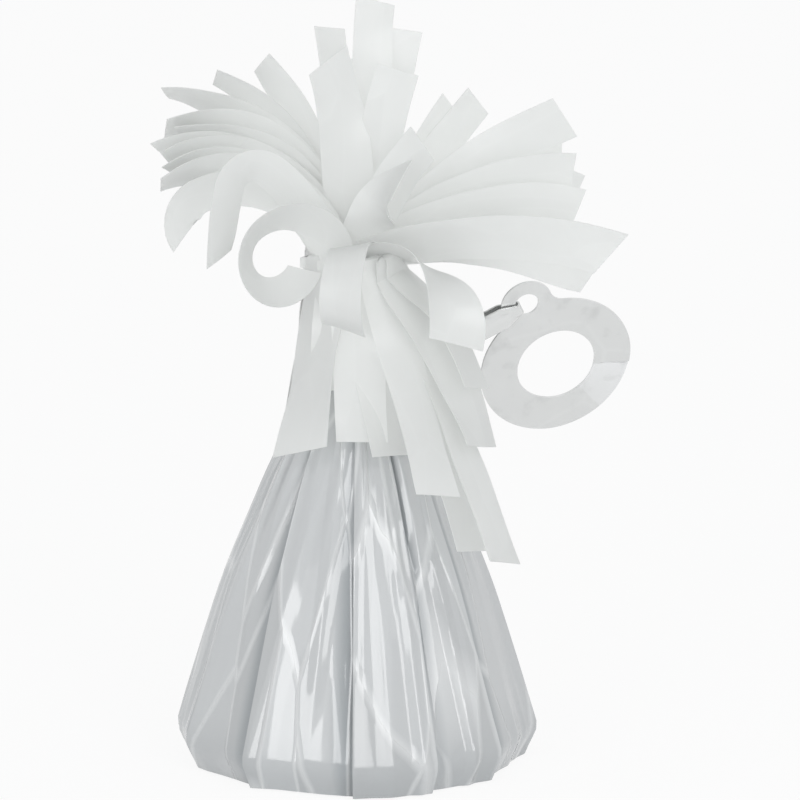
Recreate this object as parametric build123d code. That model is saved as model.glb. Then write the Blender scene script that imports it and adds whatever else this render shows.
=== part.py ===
"""Balloon weight: a cast plug in a plastic cup, wrapped in a pleated film sheet that is gathered to a neck,
with a rolled fringe of film strips at the neck and a ring tab on a film strap for the balloon ribbon.

Millimetres, +Z up. The origin is the middle of the flat foot. The ring tab lies to +X, the front is -Y.
"""
import os
from math import atan2, cos, degrees, hypot, radians, sin

from build123d import *

os.makedirs("parts", exist_ok=True)

# Film
FILM = 0.3              # wrapper and fringe film, drawn thicker than the real film
FIT = 0.3               # clearance between soft pieces that lie on each other
SPANS = 7               # straight spans along each strip

# Wrapper outline: radius and height of the pleat ridges from the foot to the neck, heights as a share of the neck's
NECK_Z = 74.0
NECK_R = 3.0
FOOT_R = 30.5
HEM_SHARE = 0.075
HEM_R = 33.2
BODY_SHARE = 0.46
BODY_R = 24.2
SHOULDER_SHARE = 0.77
SHOULDER_R = 14.4
THROAT_SHARE = 0.932
THROAT_R = 7.0
PLEAT_DEPTH = 1.7       # ridge to valley on the body
NECK_PLEAT = 0.5        # ridge to valley in the gathered neck
PLEAT_TURN = 7.0        # degrees from a ridge to the valley beside it

# Azimuth of each pleat's ridge, and the side on which its fold tucks under
PLEATS = (
    (-158, -1), (-128, -1), (-91, -1), (-64, 1), (-39, 1), (-5, 1),
    (26, 1), (56, 1), (88, -1), (118, -1), (148, -1), (176, -1),
)

# Ballast
CARD_T = 1.2            # card disc under the plug
CUP_SHARE = 0.58        # height of the cup's closed end, as a share of the neck's
CUP_WALL = 0.8
CUP_LIP = 1.4           # how far the lip stands out at the mouth
CUP_LIP_T = 1.2
CUP_STEP = 0.9          # stacking step near the closed end
STEP_SHARE = 0.46       # height of that step, as a share of the neck's
CAST_CHAMFER = 1.5

# Fringe band and the tie round it
BAND_H = 18.2
BAND_R = 5.6            # waist of the band under the tie
BAND_TOP_R = 8.0        # the roll spreads above the tie
WAIST_H = 4.8
SPREAD_H = 5.5
TIE_LIFT = 1.4          # tie above the lower edge of the band
TIE_H = 2.2
TIE_T = 0.9
STRIP_ROOT = 3.0        # width of a strip where it leaves the band
STRIP_FLARE = 14.0      # length over which a strip reaches its full width
COLLAR_DROP = 1.6       # start of the collar strips below the top of the band

# Strap and ring tab
TAB_FILM = 0.4
RING_R = 14.2
RING_HOLE_R = 7.3
EAR_R = 4.8
EAR_HOLE_R = 2.2
EAR_PITCH = 15.6        # middle of the ring to the middle of the ear's hole
EAR_BLEND = 3.0         # fillet between ear and ring
STRAP_OUT = 22.0        # ear hole from the strap's root, along X
STRAP_SIDE = -4.0       # along Y
STRAP_RISE = 7.5        # along Z
STRAP_AZIMUTH = 2.0
STRAP_FILM = 0.3
STRAP_W = 4.6
STRAP_NECK_W = 2.2      # width where it is drawn through the hole and under the tie
STRAP_PLAY = 0.35       # leg of the strap to the face of the tab
STRAP_LEAD = 16.0       # straight length beside the ear and the ring before the bend
STRAP_BEND_R = 6.0
STRAP_TRIM = 2.0        # how far the shape that trims the strap runs past its end
TAB_FACE_AZIMUTH = -71.3
TAB_FACE_TILT = -22.5
TAB_HANG = 29.0         # degrees that the tab is swung out from straight down

# Plume strips: seat in the band as a share of its top radius, tip from the axis (x, y) and above the band's top,
# lean at the seat, roll at the tip, width and skew of the cut end
PLUME = {
    "plume_left_1": (-0.55, -0.62, -27.5, -6.0, 12.0, 72, 55, 6.0, 3.0),
    "plume_left_2": (-0.55, -0.50, -34.4, -5.0, 12.9, 74, 18, 6.0, -2.0),
    "plume_left_3": (-0.55, -0.38, -33.3, -4.0, 15.3, 76, 18, 6.0, 1.0),
    "plume_left_4": (-0.55, -0.26, -34.1, -3.0, 17.0, 78, 18, 6.0, 2.0),
    "plume_left_5": (-0.55, -0.14, -34.1, -2.0, 18.8, 80, 18, 6.0, 1.0),
    "plume_left_6": (-0.55, -0.02, -31.9, -0.5, 23.3, 80, 18, 6.0, 1.0),
    "plume_left_7": (-0.55, 0.10, -34.1, 0.5, 24.9, 82, 18, 6.0, -1.0),
    "plume_left_8": (-0.55, 0.22, -34.1, 2.0, 26.6, 84, 18, 6.0, 1.0),
    "plume_left_9": (-0.55, 0.36, -23.8, 4.0, 33.7, 84, 30, 4.5, 1.0),
    "plume_left_10": (-0.50, 0.50, -16.8, 6.0, 34.0, 86, 40, 5.0, 1.0),
    "plume_left_11": (-0.42, -0.82, -16.5, -14.0, 8.0, 80, 30, 6.0, 1.0),
    "plume_left_12": (-0.48, -0.72, -15.5, -9.6, 17.0, 66, 50, 6.0, 3.0),
    "plume_right_1": (0.52, -0.52, 42.0, -8.4, -2.0, 10, 90, 6.5, 2.0),
    "plume_right_2": (0.50, -0.66, 45.0, -11.0, 2.0, 16, 92, 7.4, 4.0),
    "plume_right_3": (0.55, -0.38, 39.3, -5.0, 8.6, 34, 92, 7.0, 1.5),
    "plume_right_4": (0.55, -0.24, 38.5, -1.5, 15.0, 42, 90, 7.0, 1.5),
    "plume_right_5": (0.55, -0.09, 37.1, 1.5, 24.9, 50, 90, 7.0, -1.5),
    "plume_right_6": (0.55, 0.06, 37.0, 5.0, 18.7, 46, 88, 5.5, 1.0),
    "plume_right_7": (0.50, 0.36, 17.0, 9.0, 25.5, 70, 60, 5.0, 2.0),
    "plume_right_8": (0.55, 0.21, 21.5, 7.0, 27.0, 64, 80, 5.5, 1.0),
    "plume_right_9": (0.50, 0.50, 40.0, 10.0, 10.0, 50, 60, 5.5, 1.0),
    "plume_right_10": (0.46, -0.82, 17.5, -16.0, -13.0, 40, 20, 7.0, 1.0),
    "plume_top_1": (0.06, 0.02, 3.8, 1.0, 45.7, 86, 90, 6.3, 1.5),
    "plume_top_2": (0.12, 0.16, 9.0, 3.0, 40.1, 82, 92, 5.0, -0.5),
    "plume_top_3": (0.10, -0.16, 7.9, -2.0, 34.1, 84, 90, 6.8, -0.5),
    "plume_top_4": (-0.05, 0.30, -3.8, 4.0, 40.9, 88, 90, 5.0, -1.0),
    "plume_top_5": (-0.06, -0.32, -4.3, -5.0, 36.0, 88, 80, 8.0, 2.5),
    "plume_front_1": (0.06, -0.48, 12.0, -9.0, 22.0, 70, 90, 6.5, 1.0),
    "plume_front_2": (0.06, -0.64, 9.0, -15.0, 15.0, 80, 50, 7.5, 1.0),
    "plume_front_3": (0.02, -0.80, -1.5, -15.0, -9.0, 62, 0, 7.0, 1.0),
    "plume_back_1": (-0.40, 0.66, -27.0, 22.0, 12.0, 72, 150, 6.5, 1.0),
    "plume_back_2": (0.05, 0.50, 2.0, 18.0, 32.0, 82, 0, 6.5, 1.0),
    "plume_back_3": (-0.05, 0.80, -8.0, 34.0, 6.0, 64, 170, 6.5, 1.0),
    "plume_back_4": (0.40, 0.68, 18.0, 31.0, 10.0, 66, 10, 6.5, 1.0),
}

# Collar strips: azimuth and layer of the seat, azimuth of the tip, its drop below the band's top and how far it
# stands off the wrapper, lean at the seat, width and skew
COLLAR = {
    "collar_1": (-38, 1, -41, 50.0, 16.0, -64, 6.0, 2.0),
    "collar_2": (-46, 0, -46, 49.0, 10.0, -68, 6.0, 1.0),
    "collar_3": (-63, 1, -60, 38.5, 13.0, -66, 6.2, 2.0),
    "collar_4": (-46, 2, -36, 30.5, 18.0, -50, 6.5, 2.0),
    "collar_5": (-71, 0, -64, 33.5, 2.8, -85, 8.0, 0.5),
    "collar_6": (-92, 1, -87, 30.0, 6.2, -80, 6.5, 0.5),
    "collar_7": (-113, 0, -112, 22.5, 5.3, -84, 6.0, -1.0),
    "collar_8": (-134, 1, -125, 33.0, 4.5, -84, 7.0, -3.0),
    "collar_9": (-151, 0, -151, 16.5, 7.0, -86, 4.6, 1.0),
    "collar_10": (-180, 1, -179, 22.0, 5.4, -82, 5.0, 1.0),
    "collar_11": (153, 0, 148, 28.0, 2.4, -86, 5.6, 1.0),
    "collar_12": (134, 1, 134, 34.0, 6.0, -80, 6.5, -1.0),
    "collar_13": (110, 0, 112, 37.0, 4.0, -82, 6.5, 1.0),
    "collar_14": (86, 1, 86, 33.0, 6.0, -80, 6.5, 1.0),
    "collar_15": (62, 0, 58, 34.0, 5.0, -80, 6.5, -1.0),
    "collar_16": (-41, 3, -31, 21.0, 21.3, -34, 6.0, 2.0),
}

# Strips that curl over past that tip: turn in degrees and length of each further arc
TAILS = {
    "plume_left_1": ((-95, 9.0),),
    "plume_left_11": ((-215, 24.4),),
    "plume_left_12": ((-118, 9.0), (-4, 13.0)),
}

HEM_Z = NECK_Z * HEM_SHARE
BODY_Z = NECK_Z * BODY_SHARE
SHOULDER_Z = NECK_Z * SHOULDER_SHARE
THROAT_Z = NECK_Z * THROAT_SHARE
CUP_TOP_Z = NECK_Z * CUP_SHARE
CUP_STEP_Z = NECK_Z * STEP_SHARE
BAND_Z = NECK_Z + FIT
BAND_TOP = BAND_Z + BAND_H
TIE_Z = BAND_Z + TIE_LIFT
TIE_IN = BAND_R + FIT / 2
TIE_R = TIE_IN + TIE_T
COLLAR_STEP = FILM + FIT  # the outer layer of the collar lies on the inner one
UP = Vector(0, 0, 1)

# Ridge radius and pleat depth up the wrapper
RIDGES = (
    (0.0, FOOT_R, PLEAT_DEPTH), (HEM_Z, HEM_R, PLEAT_DEPTH), (BODY_Z, BODY_R, PLEAT_DEPTH),
    (SHOULDER_Z, SHOULDER_R, PLEAT_DEPTH), (THROAT_Z, THROAT_R, PLEAT_DEPTH), (NECK_Z, NECK_R, NECK_PLEAT),
    (BAND_TOP, NECK_R, NECK_PLEAT),
)


def ridge_at(z):
    """Ridge radius and pleat depth of the wrapper at a height."""
    for (z0, r0, d0), (z1, r1, d1) in zip(RIDGES, RIDGES[1:]):
        if z0 <= z <= z1:
            share = (z - z0) / (z1 - z0)
            return r0 + (r1 - r0) * share, d0 + (d1 - d0) * share
    return RIDGES[-1][1], RIDGES[-1][2]


def pleat_marks(ridge, depth):
    """Azimuth and radius of each ridge and of the tucked valley beside it, in order round the axis."""
    marks = []
    for azimuth, side in PLEATS:
        marks.append((azimuth % 360, ridge))
        marks.append(((azimuth + side * PLEAT_TURN) % 360, ridge - depth))
    return sorted(marks)


def pleat_ring(z, ridge, depth, inset):
    """Closed outline of the pleated film at one height."""
    marks = pleat_marks(ridge - inset, depth)
    points = [Vector(r * cos(radians(a)), r * sin(radians(a)), z) for a, r in marks]
    return Wire.make_polygon(points, close=True)


def room_at(z):
    """Radius that is free inside the pleated film at a height, with the clearance off."""
    ridge, depth = ridge_at(z)
    angles = [azimuth for azimuth, _ in pleat_marks(ridge, depth)]
    widest = max(b - a for a, b in zip(angles, angles[1:] + [angles[0] + 360]))
    return (ridge - depth - FILM) * cos(radians(widest / 2)) - FIT


def pleated(rows, inset):
    """Ruled body through the pleat outlines."""
    return Solid.make_loft([pleat_ring(z, r, d, inset) for z, r, d in rows], ruled=True)


def bent_path(lean, reach, rise, tail):
    """Arcs of a strip, each a start angle, a turn and a length: from the seat through the tip, then its tail."""
    chord = hypot(reach, rise)
    start = radians(lean)
    turn = 2 * (atan2(rise, reach) - start)
    length = chord if abs(turn) < 1e-6 else chord * turn / 2 / sin(turn / 2)
    arcs = [(start, turn, length)]
    for bend, run in tail:
        start += turn
        turn = radians(bend)
        arcs.append((start, turn, run))
    return arcs


def path_point(arcs, run):
    """Way out, climb and heading of a strip at a length along its arcs."""
    forward = climb = angle = 0.0
    for start, turn, length in arcs:
        part = min(run, length)
        angle = start + turn * part / length
        if abs(turn) < 1e-6:
            forward += part * cos(start)
            climb += part * sin(start)
        else:
            forward += (sin(angle) - sin(start)) * length / turn
            climb += (cos(start) - cos(angle)) * length / turn
        run -= part
        if run < 1e-6:
            break
    return forward, climb, angle


def strip(seat, azimuth, lean, reach, rise, roll, across, root, width, skew, tail=()):
    """One film strip: its middle line is an arc or a few in a vertical plane, and it rolls about that line."""
    arcs = bent_path(lean, reach, rise, tail)
    total = sum(length for _, _, length in arcs)
    spans = SPANS * (1 + len(tail))
    out = Vector(cos(radians(azimuth)), sin(radians(azimuth)), 0)
    side = Vector(-out.Y, out.X, 0)

    def heading(angle):
        return out * cos(angle) + UP * sin(angle), UP * cos(angle) - out * sin(angle)

    first = heading(radians(lean))[1]
    root_roll = degrees(atan2(across.dot(first), across.dot(side)))
    while root_roll - roll > 90:
        root_roll -= 180
    while root_roll - roll < -90:
        root_roll += 180
    outlines = []
    for i in range(spans + 1):
        share = i / spans
        run = share * total
        forward, climb, angle = path_point(arcs, run)
        middle = seat + out * forward + UP * climb
        along, normal = heading(angle)
        turn = min(1.0, max(0.0, (share - 0.15) / 0.6))
        turn = turn * turn * (3 - 2 * turn)
        rolled = radians(root_roll + (roll - root_roll) * turn)
        wide = side * cos(rolled) + normal * sin(rolled)
        thick = along.cross(wide) * (FILM / 2)
        half = wide * ((root + (width - root) * min(1.0, run / STRIP_FLARE)) / 2)
        slant = along * (skew / 2 if i == spans else 0)
        outlines.append(Wire.make_polygon([
            middle + half + slant + thick, middle - half - slant + thick,
            middle - half - slant - thick, middle + half + slant - thick,
        ], close=True))
    return Solid.make_loft(outlines, ruled=True)


def lowest(azimuth, lean, across, root):
    """Depth of a strip's lowest root corner below the middle of its root."""
    out = Vector(cos(radians(azimuth)), sin(radians(azimuth)), 0)
    along = out * cos(radians(lean)) + UP * sin(radians(lean))
    wide = (across - along * across.dot(along)).normalized()
    thick = along.cross(wide)
    return abs(wide.Z) * root / 2 + abs(thick.Z) * FILM / 2


def save(node, solid):
    solid.label = node
    export_step(solid, f"parts/{node}.step")


# Foil wrapper: one sheet, flat under the foot, pleated up the cone, gathered in the band and open at the throat
outer = pleated(RIDGES, 0)
hollow_rows = ((FILM,) + RIDGES[0][1:],) + RIDGES[1:-1] + ((BAND_TOP + 1,) + RIDGES[-1][1:],)
hollow = pleated(hollow_rows, FILM)
save("foil_wrapper", outer - hollow)

# Base card, cup and cast plug inside the wrapper
card_z = FILM + CARD_T
card_r = min(room_at(FILM), room_at(card_z + CUP_LIP_T))
save("base_card", Pos(0, 0, FILM) * Solid.make_cylinder(card_r, CARD_T))

mouth_r = card_r - CUP_LIP
top_r = room_at(CUP_TOP_Z)
step_line = mouth_r + (top_r - mouth_r) * (CUP_STEP_Z - card_z) / (CUP_TOP_Z - card_z)
step_r = min(step_line, room_at(CUP_STEP_Z) - CUP_STEP / 2)
cup_outside = [
    (0, card_z), (card_r, card_z), (card_r, card_z + CUP_LIP_T), (mouth_r, card_z + CUP_LIP_T),
    (step_r + CUP_STEP / 2, CUP_STEP_Z), (step_r - CUP_STEP / 2, CUP_STEP_Z + CUP_STEP),
    (top_r - CUP_WALL, CUP_TOP_Z), (0, CUP_TOP_Z),
]
cup_inside = [
    (0, card_z), (mouth_r - CUP_WALL, card_z), (step_r + CUP_STEP / 2 - CUP_WALL, CUP_STEP_Z - CUP_WALL),
    (step_r - CUP_STEP / 2 - CUP_WALL, CUP_STEP_Z + CUP_STEP - CUP_WALL),
    (top_r - 2 * CUP_WALL, CUP_TOP_Z - CUP_WALL), (0, CUP_TOP_Z - CUP_WALL),
]


def turned(points):
    """Solid of revolution about Z from a profile in radius and height."""
    face = Face(Wire.make_polygon([Vector(r, 0, z) for r, z in points], close=True))
    return Solid.revolve(face, 360, Axis.Z)


save("ballast_cup", turned(cup_outside) - turned(cup_inside))

cast_mouth = mouth_r - CUP_WALL - FIT / 2
cast_step = step_r - CUP_STEP / 2 - CUP_WALL - FIT / 2
cast_top = top_r - 2 * CUP_WALL - FIT / 2
cast_end = CUP_TOP_Z - CUP_WALL - FIT / 2
save("ballast_fill", turned([
    (0, card_z), (cast_mouth, card_z), (cast_step, CUP_STEP_Z - CUP_WALL), (cast_top, cast_end - CAST_CHAMFER),
    (cast_top - CAST_CHAMFER, cast_end), (0, cast_end),
]))

# Fringe band: the uncut middle of the fringe, rolled round the gathered neck, and the elastic tie round its waist
band_in = NECK_R + FIT / 2
save("fringe_band", turned([
    (band_in, BAND_Z), (BAND_R, BAND_Z), (BAND_R, BAND_Z + WAIST_H), (BAND_TOP_R, BAND_Z + WAIST_H + SPREAD_H),
    (BAND_TOP_R, BAND_TOP), (band_in, BAND_TOP),
]))
tie = Pos(0, 0, TIE_Z + TIE_H / 2) * (
    Cylinder(TIE_R, TIE_H) - Cylinder(TIE_IN, TIE_H)
)
tie = fillet(tie.edges().filter_by(GeomType.CIRCLE).group_by(SortBy.RADIUS)[-1], TIE_T * 0.45)
save("neck_tie", tie)

# Fringe strips of the plume, cut from the upper edge of the band
for node, (u, v, x, y, rise, lean, roll, width, skew) in PLUME.items():
    across = Vector(1, 0, 0)
    seat = Vector(u * BAND_TOP_R, v * BAND_TOP_R, BAND_TOP + FIT)
    azimuth = degrees(atan2(y - seat.Y, x - seat.X))
    seat += UP * lowest(azimuth, lean, across, STRIP_ROOT)
    reach = hypot(x - seat.X, y - seat.Y)
    climb = BAND_TOP + rise - seat.Z
    tail = TAILS.get(node, ())
    save(node, strip(seat, azimuth, lean, reach, climb, roll, across, STRIP_ROOT, width, skew, tail))

# Fringe strips of the collar, hung over the tie and down the cone in layers
for node, (turn, layer, tip_turn, drop, standoff, lean, width, skew) in COLLAR.items():
    out = Vector(cos(radians(turn)), sin(radians(turn)), 0)
    seat = out * (BAND_TOP_R + FIT + FILM / 2 + layer * COLLAR_STEP) + UP * (BAND_TOP - COLLAR_DROP)
    tip_z = BAND_TOP - drop
    tip_r = ridge_at(tip_z)[0] + standoff
    gap = Vector(tip_r * cos(radians(tip_turn)), tip_r * sin(radians(tip_turn)), tip_z) - seat
    across = Vector(-out.Y, out.X, 0)
    azimuth = degrees(atan2(gap.Y, gap.X))
    save(node, strip(seat, azimuth, lean, hypot(gap.X, gap.Y), gap.Z, 0, across, STRIP_ROOT, width, skew))

# Ring tab: frame at the ear's hole, x towards the ring, z out of the face
face_a, face_t = radians(TAB_FACE_AZIMUTH), radians(TAB_FACE_TILT)
tab_normal = Vector(cos(face_a) * cos(face_t), sin(face_a) * cos(face_t), sin(face_t))
straight_down = (UP * -1 + tab_normal * tab_normal.Z).normalized()
tab_x = straight_down.rotate(Axis((0, 0, 0), tab_normal), TAB_HANG)
root_r = TIE_R + FIT + STRAP_PLAY + TAB_FILM / 2 + STRAP_FILM + STRAP_NECK_W / 4
strap_root = Vector(
    root_r * cos(radians(STRAP_AZIMUTH)), root_r * sin(radians(STRAP_AZIMUTH)), TIE_Z + TIE_H / 2,
)
ear = strap_root + Vector(STRAP_OUT, STRAP_SIDE, STRAP_RISE)
tab_plane = Plane(origin=ear, x_dir=tab_x, z_dir=tab_normal)

ring_face = Circle(RING_R)
ear_face = Pos(-EAR_PITCH, 0) * Circle(EAR_R)
outline = Pos(EAR_PITCH, 0) * (ring_face + ear_face)
corners = outline.vertices()
outline = fillet(corners, EAR_BLEND)
outline -= Pos(EAR_PITCH, 0) * Circle(RING_HOLE_R)
outline -= Circle(EAR_HOLE_R)
tab = extrude(tab_plane * outline, amount=TAB_FILM / 2, both=True)
save("ring_tab", tab)

# Strap: one closed loop of film in the plane of its run and the tab's normal, drawn narrow at both ends
to_root = strap_root - ear
off = to_root.dot(tab_normal)
run = to_root - tab_normal * off
strap_x = run.normalized()
strap_plane = Plane(origin=ear, x_dir=strap_x, z_dir=strap_x.cross(tab_normal))
leg = TAB_FILM / 2 + STRAP_PLAY + STRAP_FILM / 2
turn_in = EAR_HOLE_R - STRAP_PLAY
path = FilletPolyline((turn_in, 0), (STRAP_LEAD, 0), (run.length, off), radius=STRAP_BEND_R)
outside = offset(path, leg + STRAP_FILM / 2, kind=Kind.ARC, side=Side.BOTH)
inside = offset(path, leg - STRAP_FILM / 2, kind=Kind.ARC, side=Side.BOTH)
loop = make_face(outside.wires()[0]) - make_face(inside.wires()[0])
strap = extrude(strap_plane * loop, amount=STRAP_W / 2, both=True)
side_plane = Plane(origin=ear, x_dir=strap_x, z_dir=tab_normal)
near, far = STRAP_NECK_W / 2, STRAP_W / 2
end_x = run.length
edge = [
    (-EAR_HOLE_R, near), (EAR_HOLE_R * 0.8, near), (EAR_R, far), (end_x - EAR_R, far),
    (end_x - STRAP_TRIM / 2, near), (end_x + STRAP_TRIM, near),
]
plan = Polygon(*edge, *[(x, -y) for x, y in reversed(edge)], align=None)
strap = strap & extrude(side_plane * plan, amount=abs(off) + 2 * STRAP_TRIM, both=True)
save("strap", strap)

print("ear hole", [round(v, 4) for v in ear])
print("tab normal", [round(v, 5) for v in tab_normal])
print("tab x", [round(v, 5) for v in tab_x])
print("ring centre", [round(v, 4) for v in ear + tab_x * EAR_PITCH])
print("strap root", [round(v, 4) for v in strap_root])
print("strap hinge", [round(v, 5) for v in strap_plane.z_dir])
print("band", BAND_Z, BAND_TOP, "tie", TIE_Z, TIE_R)
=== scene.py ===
"""Looks of a balloon weight: a film-wrapped plug, a fringe plume at its neck and a ring tab on a film strap.

Run as a script in Blender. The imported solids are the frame, in metres, with the foot at the origin, the ring
tab to +X and the front to -Y. Lengths in the tables below are in millimetres.
"""
from math import atan2, cos, degrees, exp, hypot, pi, radians, sin, tan

import bmesh
import bpy
from bpy.props import FloatProperty, FloatVectorProperty, PointerProperty
from mathutils import Matrix, Vector, noise


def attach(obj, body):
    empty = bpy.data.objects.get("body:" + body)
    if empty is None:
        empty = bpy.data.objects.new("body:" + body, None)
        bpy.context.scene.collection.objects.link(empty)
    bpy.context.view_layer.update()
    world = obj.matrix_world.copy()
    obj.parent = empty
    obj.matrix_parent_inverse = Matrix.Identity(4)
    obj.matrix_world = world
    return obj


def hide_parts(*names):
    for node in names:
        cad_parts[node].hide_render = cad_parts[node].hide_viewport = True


bl_info = {
    "name": "Balloon weight",
    "version": (1, 0, 0),
    "blender": (4, 5, 0),
    "location": "View3D > Sidebar > Balloon weight",
    "description": "Builds the film, fringe, strap and ring of a balloon weight round its packed solids",
    "category": "Object",
}

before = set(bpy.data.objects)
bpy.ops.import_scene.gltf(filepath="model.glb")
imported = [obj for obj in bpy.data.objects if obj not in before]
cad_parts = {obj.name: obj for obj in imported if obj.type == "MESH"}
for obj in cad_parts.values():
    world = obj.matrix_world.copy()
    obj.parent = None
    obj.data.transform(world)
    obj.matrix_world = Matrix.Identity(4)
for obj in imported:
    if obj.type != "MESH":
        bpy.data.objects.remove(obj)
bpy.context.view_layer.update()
MM = 0.001
UP = Vector((0, 0, 1))
WHITE = (1, 1, 1, 1)
MERGE = 0.0005          # points closer than this are one

# Wrapper: height, ridge radius and pleat depth of the film from the foot to the top of the fringe band
RIDGES = (
    (0.0, 30.5, 1.7), (5.55, 33.2, 1.7), (34.04, 24.2, 1.7), (56.98, 14.4, 1.7),
    (68.97, 7.0, 1.7), (74.0, 3.0, 0.5), (92.5, 3.0, 0.5),
)
# Azimuth of each pleat's ridge, and the side on which its fold tucks under
PLEATS = (
    (-158, -1), (-128, -1), (-91, -1), (-64, 1), (-39, 1), (-5, 1),
    (26, 1), (56, 1), (88, -1), (118, -1), (148, -1), (176, -1),
)
PLEAT_TURN = 2.5        # degrees from a ridge to the valley beside it
TUCK_TURN = 4.0         # degrees from a ridge back to the fold that tucks under it
TUCK_DEPTH = 0.7        # how deep that fold lies, as a share of the pleat
NECK_Z = 74.0           # where the film is gathered
TURN_IN_R = 30.0        # film turned in under the foot
WRAP_T = 0.16           # drawn thickness of the wrapping film

# Fringe band: the uncut film, rolled round the neck
BAND_Z = 74.3
BAND_TOP = 92.5
BAND_CORE_R = 3.35      # inner end of the roll
BAND_R = 5.6            # waist of the roll under the tie
BAND_TOP_R = 8.0        # the roll spreads above the tie
WAIST_H = 4.8
SPREAD_H = 5.5
ROLL_T = 0.25           # drawn thickness of the rolled film

# Fringe strips
FIT = 0.3               # play between pieces
FILM = 0.3              # thickness of a solid strip
STRIP_T = 0.12          # drawn thickness of a strip
STRIP_STEPS = (6, 48)   # faces across and along a strip
KINK = 14.0             # most that a strip kinks, in degrees
SWAY = 0.7              # most that a strip drifts sideways
STRIP_ROOT = 3.0        # width of a solid strip where it leaves the band
COLLAR_DROP = 1.6       # seat of a collar strip below the band's top
COLLAR_STEP = 0.6       # one layer of the collar over the next
COLLAR_FULLNESS = 1.12  # collar strips spread wider again than the plume's
HOOK_R = 0.5            # bend of a collar strip over the rim
HOOK_RISE = 0.5         # foot of that bend above the band's top
ROOT_TUCK = 2.0         # film of a collar strip that goes down inside the band
ROOT_DEPTH = 3.0        # the same for a plume strip
ROLL_SPAN = (0.28, 0.92)    # shares of its length between which a strip rolls
LATE_SPAN = (0.48, 1.2)     # the same in the left bundle
LATE = 0.16                 # most that one strip there differs from the next
MILKY = "milky_film"

# Plume strips: seat in the band as a share of its top radius, tip from the axis (x, y) and above the band's
# top, lean at the seat, roll at the tip, width and skew of the cut end
PLUME = {
    "plume_left_1": (-0.55, -0.62, -27.5, -6.0, 12.0, 72, 55, 6.0, 3.0),
    "plume_left_2": (-0.55, -0.50, -34.4, -5.0, 12.9, 74, 18, 6.0, -2.0),
    "plume_left_3": (-0.55, -0.38, -33.3, -4.0, 15.3, 76, 18, 6.0, 1.0),
    "plume_left_4": (-0.55, -0.26, -34.1, -3.0, 17.0, 78, 18, 6.0, 2.0),
    "plume_left_5": (-0.55, -0.14, -34.1, -2.0, 18.8, 80, 18, 6.0, 1.0),
    "plume_left_6": (-0.55, -0.02, -31.9, -0.5, 23.3, 80, 18, 6.0, 1.0),
    "plume_left_7": (-0.55, 0.10, -34.1, 0.5, 24.9, 82, 18, 6.0, -1.0),
    "plume_left_8": (-0.55, 0.22, -34.1, 2.0, 26.6, 84, 18, 6.0, 1.0),
    "plume_left_9": (-0.55, 0.36, -23.8, 4.0, 33.7, 84, 30, 4.5, 1.0),
    "plume_left_10": (-0.50, 0.50, -16.8, 6.0, 34.0, 86, 40, 5.0, 1.0),
    "plume_left_11": (-0.42, -0.82, -16.5, -14.0, 8.0, 80, 30, 6.0, 1.0),
    "plume_left_12": (-0.48, -0.72, -15.5, -9.6, 17.0, 66, 50, 6.0, 3.0),
    "plume_right_1": (0.52, -0.52, 42.0, -8.4, -2.0, 10, 90, 6.5, 2.0),
    "plume_right_2": (0.50, -0.66, 45.0, -11.0, 2.0, 16, 92, 7.4, 4.0),
    "plume_right_3": (0.55, -0.38, 39.3, -5.0, 8.6, 34, 92, 7.0, 1.5),
    "plume_right_4": (0.55, -0.24, 38.5, -1.5, 15.0, 42, 90, 7.0, 1.5),
    "plume_right_5": (0.55, -0.09, 37.1, 1.5, 24.9, 50, 90, 7.0, -1.5),
    "plume_right_6": (0.55, 0.06, 37.0, 5.0, 18.7, 46, 88, 5.5, 1.0),
    "plume_right_7": (0.50, 0.36, 17.0, 9.0, 25.5, 70, 60, 5.0, 2.0),
    "plume_right_8": (0.55, 0.21, 21.5, 7.0, 27.0, 64, 80, 5.5, 1.0),
    "plume_right_9": (0.50, 0.50, 40.0, 10.0, 10.0, 50, 60, 5.5, 1.0),
    "plume_right_10": (0.46, -0.82, 17.5, -16.0, -13.0, 40, 20, 7.0, 1.0),
    "plume_top_1": (0.06, 0.02, 3.8, 1.0, 45.7, 86, 90, 6.3, 1.5),
    "plume_top_2": (0.12, 0.16, 9.0, 3.0, 40.1, 82, 92, 5.0, -0.5),
    "plume_top_3": (0.10, -0.16, 7.9, -2.0, 34.1, 84, 90, 6.8, -0.5),
    "plume_top_4": (-0.05, 0.30, -3.8, 4.0, 40.9, 88, 90, 5.0, -1.0),
    "plume_top_5": (-0.06, -0.32, -4.3, -5.0, 36.0, 88, 80, 8.0, 2.5),
    "plume_front_1": (0.06, -0.48, 12.0, -9.0, 22.0, 70, 90, 6.5, 1.0),
    "plume_front_2": (0.06, -0.64, 9.0, -15.0, 15.0, 80, 50, 7.5, 1.0),
    "plume_front_3": (0.02, -0.80, -1.5, -15.0, -9.0, 62, 0, 7.0, 1.0),
    "plume_back_1": (-0.40, 0.66, -27.0, 22.0, 12.0, 72, 150, 6.5, 1.0),
    "plume_back_2": (0.05, 0.50, 2.0, 18.0, 32.0, 82, 0, 6.5, 1.0),
    "plume_back_3": (-0.05, 0.80, -8.0, 34.0, 6.0, 64, 170, 6.5, 1.0),
    "plume_back_4": (0.40, 0.68, 18.0, 31.0, 10.0, 66, 10, 6.5, 1.0),
}

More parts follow.
